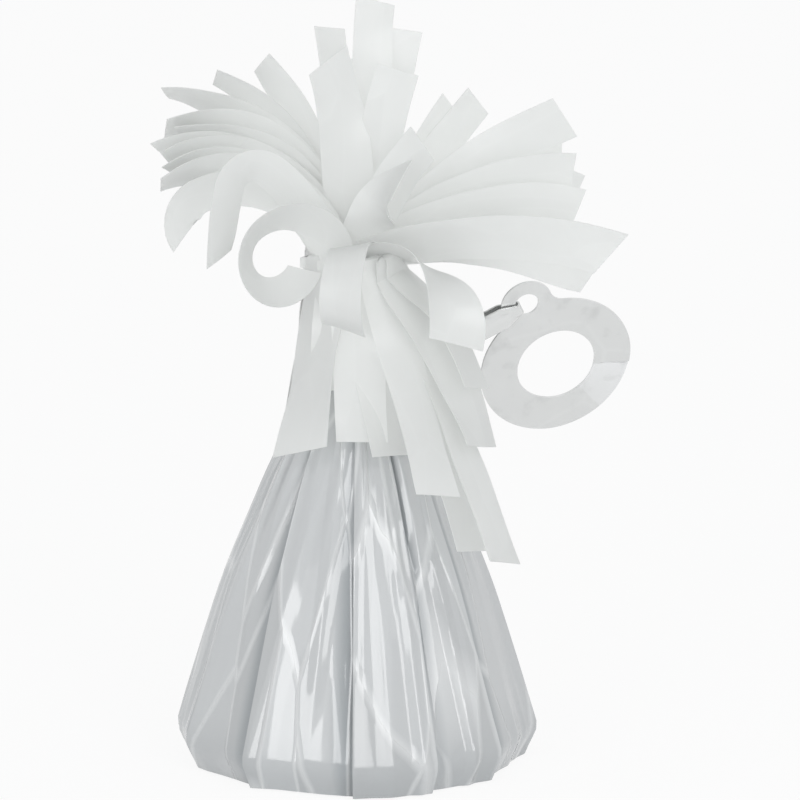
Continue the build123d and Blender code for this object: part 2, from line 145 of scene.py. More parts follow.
# Collar strips: azimuth and layer of the seat, azimuth of the tip, its drop below the band's top and how far
# it stands off the wrapper, lean at the seat, width and skew
COLLAR = {
    "collar_1": (-38, 1, -41, 50.0, 16.0, -64, 6.0, 2.0),
    "collar_2": (-46, 0, -46, 49.0, 10.0, -68, 6.0, 1.0),
    "collar_3": (-63, 1, -60, 38.5, 13.0, -66, 6.2, 2.0),
    "collar_4": (-46, 2, -36, 30.5, 18.0, -50, 6.5, 2.0),
    "collar_5": (-71, 0, -64, 33.5, 2.8, -85, 8.0, 0.5),
    "collar_6": (-92, 1, -87, 30.0, 6.2, -80, 6.5, 0.5),
    "collar_7": (-113, 0, -112, 22.5, 5.3, -84, 6.0, -1.0),
    "collar_8": (-134, 1, -125, 33.0, 4.5, -84, 7.0, -3.0),
    "collar_9": (-151, 0, -151, 16.5, 7.0, -86, 4.6, 1.0),
    "collar_10": (-180, 1, -179, 22.0, 5.4, -82, 5.0, 1.0),
    "collar_11": (153, 0, 148, 28.0, 2.4, -86, 5.6, 1.0),
    "collar_12": (134, 1, 124, 34.0, 4.0, -80, 6.5, -1.0),
    "collar_13": (110, 0, 112, 37.0, 4.0, -82, 6.5, 1.0),
    "collar_14": (86, 1, 86, 33.0, 6.0, -80, 6.5, 1.0),
    "collar_15": (62, 0, 58, 34.0, 5.0, -80, 6.5, -1.0),
    "collar_16": (-41, 3, -34, 21.0, 21.3, -34, 6.0, 2.0),
}

# Strips that curl over past that tip: turn in degrees and length of each further arc
TAILS = {
    "plume_left_1": ((-95, 9.0),),
    "plume_left_11": ((-215, 24.4),),
    "plume_left_12": ((-118, 9.0), (-4, 13.0)),
}

# Strips whose soft film spreads wider or narrower than the rest
SPREAD = {
    "plume_left_2": 1.15, "plume_left_4": 1.25, "plume_left_6": 1.15, "plume_left_7": 1.25,
    "plume_left_8": 1.15, "plume_right_1": 1.15, "plume_right_10": 1.25,
    "collar_1": 0.9, "collar_4": 1.15, "collar_6": 1.1, "collar_7": 1.2, "collar_8": 1.15, "collar_16": 1.05,
}

# Strips whose soft film leaves its seat otherwise than the solid: lean and roll
SOFT_POSE = {"plume_right_10": (24, 45)}

# Ring tab: middle of the ear's hole, direction to the ring and out of the face
EAR = Vector((30.3449, -3.7086, 84.3))
TAB_X = Vector((0.35191, 0.47247, -0.80804))
TAB_NORMAL = Vector((0.29621, -0.87511, -0.38268))
RING_PITCH = 15.6
STRAP_ROOT = Vector((8.3449, 0.2914, 76.8))


class WrapperSettings(bpy.types.PropertyGroup):
    """Finish and creases of the wrapping film"""
    film: FloatVectorProperty(
        name="Film", description="Colour of the glossy wrapping film", subtype="COLOR", size=3, min=0, max=1,
        default=(0.595, 0.61, 0.617),
    )
    # Painted shade: the film is darkened towards this colour beside each pleat and along the hem, where shade
    # falls.
    painted_shade: FloatVectorProperty(
        name="Fold", description="Colour of the film where a pleat doubles it", subtype="COLOR", size=3,
        min=0, max=1, default=(0.36, 0.385, 0.40),
    )
    crease: FloatProperty(
        name="Crease height", description="Height of the long creases in the panels", unit="LENGTH",
        default=0.0007, min=0, max=0.002,
    )
    roughness: FloatProperty(
        name="Roughness", description="Roughness of the film's face", subtype="FACTOR",
        default=0.06, min=0.02, max=1,
    )


class FringeSettings(bpy.types.PropertyGroup):
    """Finish and softness of the fringe strips"""
    film: FloatVectorProperty(
        name="Film", description="Colour of the milky fringe film", subtype="COLOR", size=3, min=0, max=1,
        default=(0.88, 0.888, 0.88),
    )
    ripple: FloatProperty(
        name="Ripple", description="Height of the soft waves in a strip", unit="LENGTH",
        default=0.0003, min=0, max=0.002,
    )
    cup: FloatProperty(
        name="Cup", description="How far a strip curls across, as a share of its width", subtype="FACTOR",
        default=0.06, min=0, max=0.3,
    )
    fullness: FloatProperty(
        name="Fullness", description="Width of the soft strips as a share of the solids'", subtype="FACTOR",
        default=1.15, min=1.0, max=1.4,
    )
    twist: FloatProperty(
        name="Twist", description="How far a strip turns about its own length", subtype="ANGLE",
        default=radians(24.0), min=0, max=radians(90.0),
    )
    glow: FloatProperty(
        name="Light through", description="Share of the light that the film scatters on its far side",
        subtype="FACTOR", default=0.36, min=0, max=0.9,
    )
    clear: FloatProperty(
        name="Clear light", description="Share of the light that passes straight through the film",
        subtype="FACTOR", default=0.93, min=0, max=0.95,
    )


class TabSettings(bpy.types.PropertyGroup):
    """Finish and crease of the ring tab and its strap"""
    silver: FloatVectorProperty(
        name="Silver", description="Colour of the metallised ring and strap film", subtype="COLOR", size=3,
        min=0, max=1, default=(0.74, 0.75, 0.745),
    )
    bend: FloatProperty(
        name="Crease bend", description="How far the ring's corner is pressed back past its crease",
        unit="LENGTH", default=0.0004, min=0, max=0.003,
    )


class StageSettings(bpy.types.PropertyGroup):
    """Floor and camera"""
    floor: FloatVectorProperty(
        name="Floor", description="Colour of the floor", subtype="COLOR", size=3, min=0, max=1,
        default=(0.98, 0.98, 0.98),
    )
    elevation: FloatProperty(
        name="Elevation", description="Angle of the camera above the horizon", subtype="ANGLE",
        default=radians(13.0),
    )
    distance: FloatProperty(
        name="Distance", description="Camera to the middle of the view", unit="LENGTH", default=1.0, min=0.2,
    )
    view_width: FloatProperty(
        name="View width", description="Width of the view at the object", unit="LENGTH",
        default=0.1441, min=0.02,
    )
    target: FloatVectorProperty(
        name="Target", description="Point in the middle of the view", subtype="TRANSLATION", size=3,
        default=(0.00775, 0.0, 0.0658),
    )


class BalloonWeightSettings(bpy.types.PropertyGroup):
    """All that a user would change"""
    wrapper: PointerProperty(type=WrapperSettings)
    fringe: PointerProperty(type=FringeSettings)
    tab: PointerProperty(type=TabSettings)
    stage: PointerProperty(type=StageSettings)


# Shader helpers

def put(tree, value, target):
    """Give an input a plain value, or join a socket to it."""
    if isinstance(value, bpy.types.NodeSocket):
        tree.links.new(value, target)
    else:
        target.default_value = value


def node(tree, kind, inputs=(), **values):
    """New shader node with its properties set, and its inputs given plain values or joined to sockets."""
    made = tree.nodes.new(kind)
    for key, value in values.items():
        setattr(made, key, value)
    for key, value in dict(inputs).items():
        put(tree, value, made.inputs[key])
    return made


def new_material(name):
    """Empty node material and its tree."""
    made = bpy.data.materials.new(name)
    made.use_nodes = True
    made.node_tree.nodes.clear()
    return made, made.node_tree


def add_output(tree, shader, kind="ShaderNodeOutputMaterial"):
    """Output node of a material or a world."""
    node(tree, kind, {"Surface": shader})


def object_place(tree):
    """Place on the piece, in metres."""
    return node(tree, "ShaderNodeTexCoord").outputs["Object"]


def mapped(tree, source, scale):
    """Texture coordinate with a Mapping node for its scale."""
    return node(tree, "ShaderNodeMapping", {"Vector": source, "Scale": scale}).outputs["Vector"]


def add_noise(tree, vector, scale, detail):
    """Noise texture."""
    return node(tree, "ShaderNodeTexNoise", {"Vector": vector, "Scale": scale, "Detail": detail})


def add_cells(tree, vector, feature):
    """Voronoi texture of one cell to a unit."""
    return node(tree, "ShaderNodeTexVoronoi", {"Vector": vector, "Scale": 1.0}, feature=feature)


def add_vectors(tree, operation, first, second):
    """Vector Math node on two vectors, each plain or a socket."""
    made = node(tree, "ShaderNodeVectorMath", {0: first, 1: second}, operation=operation)
    return made.outputs["Value" if operation == "DOT_PRODUCT" else "Vector"]


def add_math(tree, operation, *values):
    """Math node on numbers, each plain or a socket."""
    return node(tree, "ShaderNodeMath", enumerate(values), operation=operation).outputs[0]


def add_range(tree, value, low, high, to_low, to_high):
    """Map Range node."""
    inputs = {"Value": value, "From Min": low, "From Max": high, "To Min": to_low, "To Max": to_high}
    return node(tree, "ShaderNodeMapRange", inputs).outputs["Result"]


def add_mix(tree, factor, first, second):
    """Mix of two colours, each a plain colour or a socket."""
    pair = [c if isinstance(c, bpy.types.NodeSocket) else (*c, 1.0) for c in (first, second)]
    mix = node(tree, "ShaderNodeMix", {"Factor": factor, 6: pair[0], 7: pair[1]}, data_type="RGBA")
    return mix.outputs[2]


def add_blend(tree, factor, first, second):
    """Mix of two shaders, by a plain number or a socket."""
    return node(tree, "ShaderNodeMixShader", {"Fac": factor, 1: first, 2: second}).outputs["Shader"]


def add_bump(tree, height, strength, distance):
    """Bump node on a height."""
    inputs = {"Height": height, "Strength": strength, "Distance": distance}
    return node(tree, "ShaderNodeBump", inputs).outputs["Normal"]


def add_principled(tree, colour, roughness, normal, **constants):
    """Principled shader with its three patterned inputs and its constants."""
    inputs = {"Base Color": colour, "Roughness": roughness, "Normal": normal}
    inputs.update((name.replace("_", " "), value) for name, value in constants.items())
    return node(tree, "ShaderNodeBsdfPrincipled", inputs).outputs["BSDF"]


def add_seen(tree):
    """1 for what the camera, a reflection or the film's clear light sees, and 0 for light on its way."""
    path = node(tree, "ShaderNodeLightPath")
    seen = path.outputs["Is Camera Ray"]
    for name in ("Is Glossy Ray", "Is Transmission Ray"):
        seen = add_math(tree, "MAXIMUM", seen, path.outputs[name])
    return seen


def facet_group():
    """Creases of thin film: facets with their own tilt and painted shade, and a mask of the lines between
    them.
    """
    name = "Film facets"
    if name in bpy.data.node_groups:
        return bpy.data.node_groups[name]
    tree = bpy.data.node_groups.new(name, "ShaderNodeTree")
    for label, kind in (("Vector", "Vector"), ("Tilt", "Vector"), ("Bend", "Float")):
        tree.interface.new_socket(label, in_out="INPUT", socket_type="NodeSocket" + kind)
    for label in ("Height", "Lines", "Facet shade"):
        tree.interface.new_socket(label, in_out="OUTPUT", socket_type="NodeSocketFloat")
    source = node(tree, "NodeGroupInput")
    drift = add_noise(tree, source.outputs["Vector"], 0.7, 2.0)
    drifting = {0: drift.outputs["Color"], "Scale": source.outputs["Bend"]}
    shift = node(tree, "ShaderNodeVectorMath", drifting, operation="SCALE")
    place = add_vectors(tree, "ADD", source.outputs["Vector"], shift.outputs["Vector"])
    cells = add_cells(tree, place, "F1")
    across = add_vectors(tree, "SUBTRACT", place, cells.outputs["Position"])
    lean = add_vectors(tree, "SUBTRACT", cells.outputs["Color"], (0.5, 0.5, 0.5))
    leaning = add_vectors(tree, "MULTIPLY", lean, source.outputs["Tilt"])
    height = add_vectors(tree, "DOT_PRODUCT", across, leaning)
    edges = add_cells(tree, place, "DISTANCE_TO_EDGE")
    lines = add_range(tree, edges.outputs["Distance"], 0.0, 0.04, 1.0, 0.0)
    raised = add_math(tree, "MULTIPLY_ADD", lines, 0.03, height)
    # random shade of each facet, painted into the colour as the light that facet would catch
    tone = node(tree, "ShaderNodeSeparateXYZ", {"Vector": cells.outputs["Color"]}).outputs["Z"]
    node(tree, "NodeGroupOutput", {"Height": raised, "Lines": lines, "Facet shade": tone})
    return tree


def add_facets(tree, vector, tilt, bend):
    """Facet group placed in a material."""
    inputs = {"Vector": vector, "Tilt": tilt, "Bend": bend}
    return node(tree, "ShaderNodeGroup", inputs, node_tree=facet_group()).outputs


def wrapper_film(look):
    """Glossy white film: long facets from the neck to the foot, painted shade beside the pleats and along the
    hem.
    """
    material, tree = new_material("wrapper_film")
    uv = node(tree, "ShaderNodeUVMap", uv_map="film").outputs["UV"]
    painted_shade = node(tree, "ShaderNodeAttribute", attribute_name="painted_shade").outputs["Fac"]
    facets = add_facets(tree, mapped(tree, uv, (0.11, 0.022, 1.0)), tilt=(1.0, 3.0, 0.0), bend=0.3)
    haze = add_noise(tree, mapped(tree, uv, (0.06, 0.02, 1.0)), 1.0, 3.0).outputs["Fac"]
    # painted light and shade: each facet lighter or darker at random
    faces = add_mix(tree, facets["Facet shade"], look.film, tuple(0.86 * c for c in look.film))
    # painted shade: darker beside the pleats and along the hem
    shade = add_mix(tree, painted_shade, faces, look.painted_shade)
    # painted highlights: lighter along the crease lines, as glints
    crease_glint = add_range(tree, facets["Lines"], 0.0, 1.0, 0.0, 0.5)
    colour = add_mix(tree, crease_glint, shade, (0.86, 0.87, 0.87))
    rough = add_range(tree, haze, 0.3, 0.7, look.roughness, look.roughness + 0.06)
    normal = add_bump(tree, facets["Height"], strength=1.0, distance=0.003)
    add_output(tree, add_principled(
        tree, colour, rough, normal, IOR=1.7, Coat_Weight=0.25, Coat_Roughness=0.06,
    ))
    return material


def fringe_film(look):
    """Milky film: soft gloss, faint lengthwise facets, and light that comes through from behind."""
    material, tree = new_material(MILKY)
    uv = node(tree, "ShaderNodeUVMap", uv_map="film").outputs["UV"]
    facets = add_facets(tree, mapped(tree, uv, (0.2, 0.05, 1.0)), tilt=(1.0, 2.0, 0.0), bend=0.4)
    cloud = add_noise(tree, object_place(tree), 55.0, 3.0).outputs["Fac"]
    tone = add_range(tree, cloud, 0.3, 0.7, 0.0, 1.0)
    dim = tuple(0.95 * c for c in look.film)
    # painted light and shade: each facet lighter or darker at random
    faces = add_mix(tree, facets["Facet shade"], look.film, dim)
    shade = add_mix(tree, tone, faces, dim)
    # painted highlights: lighter along the crease lines, as glints
    crease_glint = add_range(tree, facets["Lines"], 0.0, 1.0, 0.0, 0.1)
    colour = add_mix(tree, crease_glint, shade, (0.96, 0.97, 0.97))
    rough = add_range(tree, cloud, 0.3, 0.7, 0.3, 0.44)
    normal = add_bump(tree, facets["Height"], strength=0.15, distance=0.0006)
    face = add_principled(tree, colour, rough, normal, IOR=1.45, Coat_Weight=0.4, Coat_Roughness=0.12)
    through = node(tree, "ShaderNodeBsdfTranslucent", {"Color": (*look.film, 1.0)})
    film = add_blend(tree, look.glow, face, through.outputs["BSDF"])
    shadow = node(tree, "ShaderNodeLightPath").outputs["Is Shadow Ray"]
    clear = node(tree, "ShaderNodeBsdfTransparent").outputs["BSDF"]
    add_output(tree, add_blend(tree, add_math(tree, "MULTIPLY", shadow, look.clear), film, clear))
    return material


def milky_film(look):
    """The one material of the whole fringe, made at its first use."""
    return bpy.data.materials.get(MILKY) or fringe_film(look)


def silver_film(name, look, scale, grain, patch_darkness, depth, roughness):
    """Metallised film: satin silver with a fine grain, darker patches and thin creases with painted glints."""
    material, tree = new_material(name)
    place = object_place(tree)
    facets = add_facets(tree, mapped(tree, place, (scale,) * 3), tilt=(1.0, 1.0, 1.0), bend=0.4)
    # darker patches by noise, which also roughen the film; on the strap they are painted dark reflections of
    # its crushed film
    patch_noise = add_noise(tree, mapped(tree, place, grain), 1.0, 5.0).outputs["Fac"]
    darker_patch = add_range(tree, patch_noise, 0.56, 0.8, 0.0, patch_darkness)
    # painted highlight: a creased corner, marked in its mesh, is painted lighter silver
    corner = node(tree, "ShaderNodeAttribute", attribute_name="corner").outputs["Fac"]
    lit = add_mix(tree, corner, look.silver, (0.86, 0.87, 0.875))
    shade = add_mix(tree, darker_patch, lit, tuple(0.6 * c for c in look.silver))
    # painted highlights: lighter along the crease lines, as glints
    crease_glint = add_range(tree, facets["Lines"], 0.0, 1.0, 0.0, 0.12)
    colour = add_mix(tree, crease_glint, shade, (0.9, 0.91, 0.91))
    rough = add_range(tree, patch_noise, 0.3, 0.75, roughness, roughness + 0.15)
    normal = add_bump(tree, facets["Height"], strength=depth, distance=0.0006)
    add_output(tree, add_principled(tree, colour, rough, normal, Metallic=0.75))
    return material


def grained(name, light, dark, scale, roughness, depth):
    """Plain body with a cloudy two-tone colour and a fine grain: plastic, cement, card or rubber."""
    material, tree = new_material(name)
    place = object_place(tree)
    cloud = add_noise(tree, place, scale, 6.0).outputs["Fac"]
    grain = add_noise(tree, place, scale * 12, 4.0).outputs["Fac"]
    colour = add_mix(tree, add_range(tree, cloud, 0.35, 0.65, 0.0, 1.0), light, dark)
    rough = add_range(tree, grain, 0.3, 0.7, roughness, roughness + 0.15)
    normal = add_bump(tree, grain, strength=0.4, distance=depth)
    add_output(tree, add_principled(tree, colour, rough, normal))
    return material


# Object and mesh helpers

def add_object(name, data):
    """New object in the scene."""
    made = bpy.data.objects.new(name, data)
    bpy.context.scene.collection.objects.link(made)
    return made


def aimed(place, direction):
    """Matrix of a lamp or a camera that looks in a direction."""
    return Matrix.Translation(place) @ direction.to_track_quat("-Z", "Y").to_matrix().to_4x4()


def finish_piece(bm, name, material, body, replaced, sharp=35.0):
    """Turn a bmesh in millimetres into a piece that rides on a body and stands for its node."""
    bmesh.ops.scale(bm, vec=(MM, MM, MM), verts=bm.verts)
    for face in bm.faces:
        face.smooth = True
    limit = radians(sharp)
    for edge in bm.edges:
        edge.smooth = edge.is_manifold and edge.calc_face_angle(pi) < limit
    mesh = bpy.data.meshes.new(name)
    bm.to_mesh(mesh)
    bm.free()
    mesh.materials.append(material)
    piece = add_object(name, mesh)
    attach(piece, body)
    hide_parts(*replaced)
    return piece


def thicken(bm, thickness):
    """Give a sheet its thickness, half to each side, and close its edges."""
    bm.normal_update()
    sheet = bm.verts[:]
    shifts = [vert.normal * (thickness / 2) for vert in sheet]
    loops = [edge.link_loops[0] for edge in bm.edges if edge.is_boundary]
    rim = [(loop.vert, loop.link_loop_next.vert) for loop in loops]
    made = bmesh.ops.duplicate(bm, geom=bm.verts[:] + bm.edges[:] + bm.faces[:])
    twin = made["vert_map"]
    bmesh.ops.reverse_faces(bm, faces=[part for part in made["geom"] if isinstance(part, bmesh.types.BMFace)])
    for first, second in rim:
        bm.faces.new((second, first, twin[first], twin[second]))
    for vert, shift in zip(sheet, shifts):
        twin[vert].co -= shift
        vert.co += shift


def middle_of(part):
    """Middle of a vertex, an edge or a face."""
    verts = [part] if isinstance(part, bmesh.types.BMVert) else part.verts
    return (sum((vert.co for vert in verts), Vector()) / len(verts)).to_tuple()


def sort_by_place(bm):
    """Put a mesh in the order of its places, so that every run gives the same one."""
    for parts in (bm.verts, bm.edges, bm.faces):
        for rank, part in enumerate(sorted(parts, key=middle_of)):
            part.index = rank
        parts.sort()


def refinish(name, material):
    """Give a node that stays as it is its own finish."""
    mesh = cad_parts[name].data
    mesh.materials.clear()
    mesh.materials.append(material)


def toward(azimuth):
    """Level direction at an azimuth in degrees."""
    return Vector((cos(radians(azimuth)), sin(radians(azimuth)), 0))


def soft_noise(a, b, seed):
    """Smooth noise from -1 to 1 over two shares."""
    return noise.noise(Vector((a, b, seed * 7.31)))


def ease(value):
    """Smooth step from 0 to 1."""
    value = min(1.0, max(0.0, value))
    return value * value * (3 - 2 * value)


def straight_profile(z):
    """Ridge radius and pleat depth of the wrapper at a height, along the straight runs of the solid."""
    for (z0, r0, d0), (z1, r1, d1) in zip(RIDGES, RIDGES[1:]):
        if z <= z1:
            share = max(0.0, (z - z0) / (z1 - z0))
            return r0 + (r1 - r0) * share, d0 + (d1 - d0) * share
    return RIDGES[-1][1], RIDGES[-1][2]


def profile_at(z):
    """The same profile with its corners eased and its pleats pressed flatter towards the neck."""
    reach = 1.2 + 4.0 * ease((z - 8.0) / 20.0) * ease((78.0 - z) / 8.0)
    rows = [straight_profile(z + reach * k / 3) for k in range(-3, 4)]
    pressed = 1 - 0.4 * ease((z - 25.0) / 35.0)
    return sum(row[0] for row in rows) / 7, pressed * sum(row[1] for row in rows) / 7


def pleat_marks():
    """Turning points of the film, three to a pleat: azimuth, and depth as a share of the pleat's."""
    marks = []
    for azimuth, side in PLEATS:
        ridge = (azimuth, 0.0)
        tuck = (azimuth - side * TUCK_TURN, TUCK_DEPTH)
        valley = (azimuth + side * PLEAT_TURN, 1.0)
        order = [ridge, tuck, valley] if side > 0 else [valley, tuck, ridge]
        marks.append((azimuth + side * PLEAT_TURN / 2, order))
    marks.sort()
    return [point for _, order in marks for point in order]


class BALLOONWEIGHT_OT_wrapper(bpy.types.Operator):
    """Pleat the wrapping film round the ballast and gather it in the neck"""
    bl_idname = "balloonweight.wrapper"
    bl_label = "Foil wrapper"

    rows = 60
    panel_steps = 56
    fold_steps = 3
    foot_lift = 0.4     # the film's lower edge stays clear of the floor
    shaded_share = 0.22       # share of a panel, beside a pleat, that painted shade darkens
    swell = 0.7         # height of a panel's slow swell
    pinch = 0.5         # height of the sharp gathers
    creases = 6         # long creases in a panel
    hem_wave = 0.027    # unevenness of the hem, as a share of its radius
    unrolled = 0.45     # film to a degree round the axis

    def execute(self, context):
        look = context.scene.balloon_weight.wrapper
        columns = self.columns()
        around = len(columns) - 1
        bm = bmesh.new()
        bmesh.ops.create_grid(bm, x_segments=around, y_segments=self.rows, size=0.5)
        # share of painted shade at each point of the film
        painted_shade = bm.verts.layers.float.new("painted_shade")
        for vert in bm.verts:
            column = columns[round((vert.co.x + 0.5) * around)]
            z = self.foot_lift + (RIDGES[-1][0] - self.foot_lift) * (vert.co.y + 0.5)
            place = self.film_at(column, z, look.crease / MM)
            vert[painted_shade] = self.painted_shade_at(column, z)
            vert.co = (place.x, place.y, z)
        self.unwrap(bm)
        bmesh.ops.remove_doubles(bm, verts=bm.verts, dist=MERGE)
        self.close_foot(bm)
        bmesh.ops.recalc_face_normals(bm, faces=bm.faces)
        thicken(bm, WRAP_T)
        film = wrapper_film(look)
        piece = finish_piece(bm, "wrapper_film", film, "weight", ["foil_wrapper"], 28.0)
        return {"FINISHED"}

    def columns(self):
        """Columns of the grid: the turning points on both sides, the share of the way and the panel."""
        marks = pleat_marks()
        columns = []
        for i, start in enumerate(marks):
            end = marks[(i + 1) % len(marks)]
            wide = i % 3 == 2
            steps = self.panel_steps if wide else self.fold_steps
            columns += [(start, end, k / steps, wide, i) for k in range(steps)]
        return columns + columns[:1]

    def film_at(self, column, z, crease):
        """Place of the film round the axis at a height."""
        start, end, share, wide, mark = column
        radius, pleat = profile_at(z)
        first = self.spot(start, radius, pleat)
        chord = self.spot(end, radius, pleat) - first
        place = first + chord * share
        if wide:
            out = Vector((chord.y, -chord.x)).normalized()
            free = ease((NECK_Z - z) / 8.0)
            place += out * (free * self.drape(crease, share, chord.length, z, mark))
        hem = exp(-((z - 5) / 9) ** 2)
        turn = atan2(place.y, place.x)
        return place * (1 + self.hem_wave * hem * soft_noise(cos(turn) * 2.2, sin(turn) * 2.2, 9))

    def painted_shade_at(self, column, z):
        """How far the film is painted darker as shade: beside a pleat, less towards the neck, and along the
        hem.
        """
        start, end, share, wide, _ = column
        shaded = max(start[1], end[1])
        if wide:
            before = start[1] * ease(1 - share / self.shaded_share)
            after = end[1] * ease(1 - (1 - share) / self.shaded_share)
            shaded = max(before, after)
        return max(shaded * (1 - 0.6 * ease((z - 35) / 25)), 0.4 * ease(1 - z / 14))

    def unwrap(self, bm):
        """Film coordinates, in millimetres: round the axis and up."""
        uv = bm.loops.layers.uv.new("film")
        for face in bm.faces:
            turns = [degrees(atan2(loop.vert.co.y, loop.vert.co.x)) for loop in face.loops]
            seam = max(turns) - min(turns) > 180
            for loop, turn in zip(face.loops, turns):
                if seam and turn < 0:
                    turn += 360
                loop[uv].uv = (turn * self.unrolled, loop.vert.co.z)

    def spot(self, mark, radius, pleat):
        """Point of the film's outline at one of the turning points."""
        azimuth, depth = mark
        away = radius - pleat * depth
        return Vector((away * cos(radians(azimuth)), away * sin(radians(azimuth))))

    def drape(self, crease, panel, span, z, mark):
        """How far a panel's film stands off: a slow swell, gathers under the neck and a few long creases."""
        edge = min(1.0, 7.0 * panel * (1 - panel))
        lift = self.swell * sin(pi * panel) * (0.4 + 0.6 * soft_noise(z * 0.026, mark * 3.1, 2))
        lift += self.pinch * edge * self.pinched(panel * span * 0.11 + mark * 5.3, z * 0.010 + mark * 9.7, 5)
        gathers = self.pinch * edge * ease((z - 26) / 30)
        lift += gathers * self.pinched(panel * span * 0.34 + mark * 4.1, z * 0.008, 6)
        for k in range(self.creases):
            start = (k + 0.5) / self.creases + 0.15 * soft_noise(mark * 1.7 + 0.3, k * 2.3, 1)
            line = start + 0.6 * soft_noise(mark * 2.1 + 0.7, k * 1.9, 7) * (z / NECK_Z - 0.6)
            reach = NECK_Z * (0.35 + 0.8 * soft_noise(mark * 2.9 + 0.1, k * 3.7, 4))
            height = crease * (0.6 + soft_noise(mark * 1.3 + 0.9, k * 4.3, 12))
            width = 2.2 + 2.0 * soft_noise(mark * 3.3 + 0.4, k * 2.7, 15)
            shown = ease((reach - z) / 14) if k % 3 == 2 else ease((z - reach) / 14)
            lift += edge * height * shown * max(0.0, 1 - abs(panel - line) * span / width)
        return lift

    def pinched(self, across, along, seed):
        """Noise with sharp crests, as film has where it is drawn together."""
        return 0.5 - 2.0 * abs(soft_noise(across, along, seed))

    def close_foot(self, bm):
        """Turn the film in under the foot and close it in the middle."""
        rim = [edge for edge in bm.edges if edge.is_boundary and all(v.co.z < 1.0 for v in edge.verts)]
        for share in (0.86, 0.4, 0.0):
            made = bmesh.ops.extrude_edge_only(bm, edges=rim)
            rim = [part for part in made["geom"] if isinstance(part, bmesh.types.BMEdge)]
            verts = {vert for edge in rim for vert in edge.verts}
            far = max(hypot(v.co.x, v.co.y) for v in verts)
            for vert in verts:
                vert.co.xy = vert.co.xy * (share * TURN_IN_R / far)
        bmesh.ops.remove_doubles(bm, verts=bm.verts, dist=MERGE)
        sort_by_place(bm)


class StripShape:
    """Middle line and roll of one fringe strip: arcs in a vertical plane, rolled about that line."""

    def __init__(self, seat, tip, lean, roll, across, width, skew, tail=(), hook=0.0, span=ROLL_SPAN):
        self.seat = seat
        self.onset, self.settled = span
        gap = tip - seat
        self.out = Vector((gap.x, gap.y, 0)).normalized()
        self.side = Vector((-self.out.y, self.out.x, 0))
        reach, rise = hypot(gap.x, gap.y), gap.z
        chord = hypot(reach, rise)
        start = radians(lean)
        turn = 2 * (atan2(rise, reach) - start)
        length = chord if abs(turn) < 1e-6 else chord * turn / 2 / sin(turn / 2)
        self.arcs = [(start, turn, length)]
        for bend, run in tail:
            start += turn
            turn = radians(bend)
            self.arcs.append((start, turn, run))
        self.length = sum(run for _, _, run in self.arcs)
        first = self.heading(radians(lean))[1]
        root_roll = degrees(atan2(across.dot(first), across.dot(self.side)))
        while root_roll - roll > 90:
            root_roll -= 180
        while root_roll - roll < -90:
            root_roll += 180
        self.root_roll = root_roll
        self.roll = roll
        self.width = width
        self.skew = skew
        self.hook = hook
        self.hook_r = HOOK_R
        self.fullness = 1.0
        self.root = ROOT_DEPTH

    def heading(self, angle):
        """Direction along the strip and its normal, for an angle above the horizon."""
        return self.out * cos(angle) + UP * sin(angle), UP * cos(angle) - self.out * sin(angle)

    def over_rim(self, back):
        """Point and direction of a collar strip where it comes up inside the band and folds over its rim."""
        if back < self.hook:
            return self.seat + UP * back, -UP
        turn = (back - self.hook) / self.hook_r
        if turn < pi:
            rise = self.hook + self.hook_r * sin(turn)
            place = self.seat + UP * rise - self.out * (self.hook_r * (1 - cos(turn)))
            return place, self.out * sin(turn) - UP * cos(turn)
        down = back - self.hook - pi * self.hook_r
        return self.seat + UP * (self.hook - down) - self.out * (2 * self.hook_r), UP.copy()

    def at(self, run, twist):
        """Middle point, directions along and across and face normal at a length from the seat."""
        if run < 0 and self.hook:
            middle, along = self.over_rim(-run)
            return middle, along, self.side, along.cross(self.side)
        forward = climb = 0.0
        angle, left = self.arcs[0][0], run
        for start, turn, length in self.arcs:
            part = min(left, length)
            angle = start + turn * max(0.0, part) / length
            if abs(turn) < 1e-6 or part < 0:
                forward += part * cos(start)
                climb += part * sin(start)
            else:
                forward += (sin(angle) - sin(start)) * length / turn
                climb += (cos(start) - cos(angle)) * length / turn
            left -= part
            if left < 1e-6:
                break
        middle = self.seat + self.out * forward + UP * climb
        along, normal = self.heading(angle)
        share = ease((run / self.length - self.onset) / (self.settled - self.onset))
        rolled = radians(self.root_roll + (self.roll - self.root_roll) * share + twist)
        wide = self.side * cos(rolled) + normal * sin(rolled)
        return middle, along, wide, along.cross(wide)


